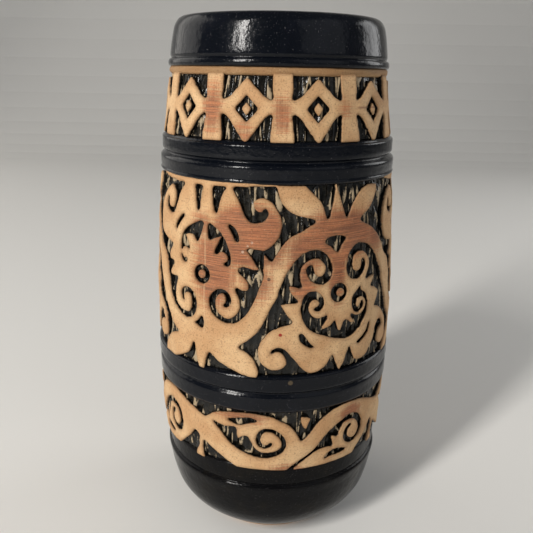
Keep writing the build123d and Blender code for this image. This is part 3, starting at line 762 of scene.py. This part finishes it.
# %% [markdown]
# ## Upper frieze
# Eleven posts with an open diamond between each two, and a small lozenge in each diamond. It is
# regular, so one pitch is made, from post middle to post middle, and laid round eleven times. The cut
# ends fall inside the posts, where they don't show.

# %%
PITCH = 360 / 11 * ROLL
HALF = PITCH / 2
BAND = f"""*{-HALF - 1},138.4 *-7.2,138.8 *-5.2,137.4 *-0.6,131.5 *0.6,131.5 *5.2,137.4 *7.2,138.8
*{HALF + 1},138.4
*{HALF + 1},142.7 *7.2,142.5 *5.2,143.4 *0.5,147.9 *-0.5,147.9 *-5.2,143.4 *-7.2,142.5 *{-HALF - 1},142.7"""
POST = "*-3.6,131.4 *3.6,131.4 3.1,136 *2.6,139 *2.6,142 3.0,145 *3.0,149.4 *-3.0,149.4 -3.0,145 *-2.6,142 " \
       "*-2.6,139 -3.1,136"
left_post = [point - Vector((HALF, 0)) for point in drawn(POST)]
right_post = [point + Vector((HALF, 0)) for point in drawn(POST)]
upper_flat = melted([drawn(BAND), left_post, right_post], [drawn("*-3.7,140.2 *0,136.7 *3.7,140.2 *0,143.6")],
                    (-HALF, HALF))
lozenge_flat = melted([drawn("*-1.6,140.2 *0,138.4 *1.6,140.2 *0,142.0")], [], (-FAR_END, FAR_END))
between = [2.2 + 360 / 11 * (index + 0.5) for index in range(11)]
laid_round("upper_diamonds_and_posts", upper_flat, [plain_turn(axis) for axis in between],
           ["upper_posts", "upper_diamonds"])
laid_round("upper_lozenges", lozenge_flat, [plain_turn(axis) for axis in between], ["upper_pips"])

# %% [markdown]
# ## Lower frieze
# A vine runs in long waves with a scroll in every bend. It is drawn in degrees across and mm up,
# because its length was set by the turn it fills. The front wave is a little longer than the others.

# %%
LOWER_ENDS = (-46.0, 51.5)
LOWER_BODY = """*-50,50.9 *-46,50.2 -38,48.2 *-32,47 -27,49.6 -20,50.8 -10,51.4 0,50.6 3.8,49.4 7.9,47.8
11.3,45.3 *14.2,41.4 17.2,43.3 21.3,46.7 25.5,49.4 29.7,50.8 36,51.8 44,51.5 *51.5,50.2 *55,49.5 *55,37.6
*51.5,35.4 *44,31.4 *7,31.4 *-16.3,31.4 -23,33.9 -29.7,36.7 *-39,40.8 -42,38 *-46,35.4 *-50,33.6"""
LOWER_CUTS = ["""*-30.6,47.3 -26.4,45.1 -22.2,42.2 -18,39.4 -13,37.5 -7.1,36.1 *-1.3,35.8 *-1,37.6
-4.6,37.9 -7.1,39.2 -9.2,41.7 *-10.5,43.4 -13,43.1 *-15.5,41.7 *-15.9,46.1 -23,45.8""",
              "*-21,48.1 -16.3,49.2 -9.6,49.8 *-5,48.6 -9.6,48 -14.7,46.9",
              """*7.1,31.2 12.1,33.9 17.2,36.1 22.2,38.9 25.5,41.7 28.9,43.9 *33.1,45.8 *35.6,43.9
              33.9,41.7 *34.3,39.7 *32.2,40.8 *29.3,41.7 *31.6,37.2 27.2,37.8 22.2,37.2 17.2,35 *12.1,32.4
              *10,31.2""",
              "*25.9,33.4 28,35.3 32.2,36.2 37.3,35.6 *40.6,34.7 36.4,34 31.4,33.9"]
LOWER_GROOVES = ["""-2,36.7,1.9 3.2,37.9,1.7 5.9,40.2,1.3 5.6,42.8,1.2 3.2,44.8,1.2 -.6,45.9,1.2
                 -4.2,45.3,1.2 -5.6,43.4,1.2 -5.6,41.6,1.2 -4.2,40.2,1.2 -2,39.9,1.1 -.3,40.8,1 .5,42,.6""",
                 """33,44.8,1.6 38.9,46.2,1.9 44.8,45.3,2 47.7,42.2,2 47.3,39.2,1.9 44,37.2,1.8
                 40.2,37.8,1.7 38.1,39.7,1.6 38.5,41.7,1.5 40.6,43.1,1.3 42.3,42.5,.8"""]
SPRIG = "*-39,31.4 *-33,31.4 -34.4,34.5 -34.2,38.4 *-36.3,40.0 -36.6,36 -38.4,33.4"
SLIVER = "*13.6,50.4 *18.6,49.4 *16.2,45.4 14,47.6"
lower_flat = melted([drawn(LOWER_BODY, ROLL), drawn(SPRIG, ROLL), drawn(SLIVER, ROLL)],
                    [drawn(cut, ROLL) for cut in LOWER_CUTS]
                    + [stroked(groove, ROLL) for groove in LOWER_GROOVES],
                    [end * ROLL for end in LOWER_ENDS])
long_turn = LOWER_ENDS[1] - LOWER_ENDS[0]
short_turn = (360 - long_turn) / 3
print("the front wave fills", long_turn, "degrees and each other one", short_turn)
starts = [LOWER_ENDS[0], LOWER_ENDS[1], LOWER_ENDS[1] + short_turn, LOWER_ENDS[1] + 2 * short_turn]


def lower_turn(start, length):
    """The angle for a place on the lower drawing, stretched to the length of its repeat."""
    return lambda x: start + (x / ROLL - LOWER_ENDS[0]) * length / long_turn


laid_round("lower_running_vine", lower_flat,
           [lower_turn(start, long_turn if index == 0 else short_turn) for index, start in enumerate(starts)],
           ["lower_vine", "lower_crest_scrolls", "lower_dip_scrolls"])

# %% [markdown]
# ## Eyes of the medallions
# Each medallion has a round eye that stands free in its hole, so the eyes are one small solid laid in
# six places. The ridge under the collar is bare clay too, and is turned like the hoops.

# %%
bm = bmesh.new()
for axes, x, z in ((UPRIGHT, 0.5, 88.9), (HANGING, -0.8, 93.2)):
    for axis in axes:
        first = len(bm.verts)
        bm.from_mesh(pip_flat)
        bm.verts.ensure_lookup_table()
        for vert in bm.verts[first:]:
            across, up, lift = vert.co
            vert.co = on_the_round(axis + (x + across) / ROLL, barrel(z + up) - RELIEF + lift * 0.92, z + up)
finish_piece("medallion_eyes", bm, clay, ["medallion_pips"])


ridge = curve([(32.4, 148.7), (33.2, 149.0), (33.5, 149.5), (33.5, 150.3), (33.2, 150.8), (32.4, 151.0)], 0.3)
turned("neck_ridge_bare", ridge + [Vector((31.8, 151.0)), Vector((31.8, 148.7))], clay, ["neck_ridge"],
       tooled=lambda angle, r, z: (0.25 * noise.noise(Vector((angle * 0.11, z, 4))), 1))

# %% [markdown]
# ## The casting itself
# Only its foot ring and the shallow dish under the base show. It is spun as one closed wall that stays
# inside all the glaze and ornament, so nothing of it breaks through.

# %%
body, shader = start("casting")
here = vector(*place()[:3])
pores = grain(here, 3.0, 4)
feed(blend(pores.step(0.55, 0.7) * 0.5, TAN, SPECK), shader.inputs["Base Color"])
feed(pores * 0.2 + 0.7, shader.inputs["Roughness"])
bumped(shader, pores, 0.12)
casting = [Vector(point) for point in (
    (0.3, 1.5), (18.0, 1.5), (19.0, 0.2), (19.4, 0.0), (23.6, 0.0), (24.0, 0.3), (24.2, 1.0), (27.4, 4.6),
    (33.2, 12.6), (34.6, 20.0), (35.2, 31.0), (36.6, 60.0), (36.5, 90.0), (34.8, 118.0), (32.4, 140.0),
    (30.4, 155.0), (29.4, 162.6), (28.6, 162.4), (32.6, 120.0), (33.8, 90.0), (33.8, 60.0), (32.4, 18.0),
    (28.6, 8.6), (23.2, 5.4), (0.3, 5.2))]
turned("casting", casting, body, ["stoneware_body"], INNER_STEPS)

# %% [markdown]
# ## Floor, camera and light
# A pale sweep of floor, bent up far behind the mug, gives a soft background with no corner.

# %%
bm = bmesh.new()
REACH, BEND = 3.0, 0.6
side_line = [(-REACH, 0.0), (0.9, 0.0)]
side_line += [(0.9 + BEND * math.sin(a), BEND - BEND * math.cos(a))
              for a in (math.pi / 2 * step / 16 for step in range(1, 17))]
side_line.append((0.9 + BEND, REACH))
left, right_side = [[bm.verts.new((x, y, z)) for y, z in side_line] for x in (-REACH, REACH)]
for index in range(len(side_line) - 1):
    bm.faces.new((left[index], right_side[index], right_side[index + 1], left[index + 1]))
mesh = bpy.data.meshes.new("floor")
bm.to_mesh(mesh)
bm.free()
floor = bpy.data.objects.new("floor", mesh)
bpy.context.scene.collection.objects.link(floor)
pale, shader = start("pale floor")
shader.inputs["Base Color"].default_value = (0.80, 0.79, 0.76, 1)
shader.inputs["Roughness"].default_value = 0.6
mesh.materials.append(pale)

# %% [markdown]
# ### Camera
# It stands close in front, a little above the lip, and is aimed by its own three directions.

# %%
CAMERA = Vector((0, -207.4, 149.3))
PITCH_DOWN, ROLL_OVER, YAW = (math.radians(angle) for angle in (16.95, 1.02, -0.75))
forward = Vector((math.sin(YAW) * math.cos(PITCH_DOWN), math.cos(YAW) * math.cos(PITCH_DOWN),
                  -math.sin(PITCH_DOWN)))
level = Vector((math.cos(YAW), -math.sin(YAW), 0))
above = level.cross(forward)
right = level * math.cos(ROLL_OVER) + above * math.sin(ROLL_OVER)
above = above * math.cos(ROLL_OVER) - level * math.sin(ROLL_OVER)
lens = bpy.data.cameras.new("camera")
lens.lens = 42.84
lens.clip_start = 0.01
camera = bpy.data.objects.new("camera", lens)
camera.matrix_world = Matrix.Translation(CAMERA * MM) @ Matrix((right, above, -forward)).transposed().to_4x4()
bpy.context.scene.collection.objects.link(camera)
bpy.context.scene.camera = camera
print("camera at", tuple(camera.matrix_world.translation))

# %% [markdown]
# ### Lamps
# A tall narrow lamp draws the upright highlight on the collar and hoops. Broad weak ones fill the
# shade, because black gloss shows the shape of every lamp.

# %%
def lamp(name, where, size, power, tall=None, colour=(1, 1, 1)):
    """A soft lamp aimed at the middle of the mug."""
    light = bpy.data.lights.new(name, "AREA")
    light.energy, light.size, light.color = power, size, colour
    if tall:
        light.shape, light.size_y = "RECTANGLE", tall
    thing = bpy.data.objects.new(name, light)
    thing.location = where
    aim = Vector((0, 0, 0.085)) - Vector(where)
    thing.rotation_euler = aim.to_track_quat("-Z", "Y").to_euler()
    bpy.context.scene.collection.objects.link(thing)


lamp("window", (-0.66, -0.80, 0.66), 0.12, 14, 0.62, (1.0, 0.97, 0.93))
lamp("side", (-0.95, 0.42, 0.50), 0.9, 3.6, colour=(1.0, 0.96, 0.90))
lamp("rim", (0.80, 0.34, 0.42), 0.42, 2.2, 0.5)
lamp("fill", (1.1, -1.0, 0.9), 1.4, 3.0, colour=(0.95, 0.97, 1.0))
world = bpy.data.worlds.new("soft room")
world.use_nodes = True
world.node_tree.nodes["Background"].inputs[0].default_value = (0.86, 0.88, 0.92, 1)
world.node_tree.nodes["Background"].inputs[1].default_value = 0.13
bpy.context.scene.world = world
bpy.context.scene.view_settings.view_transform = "Standard"
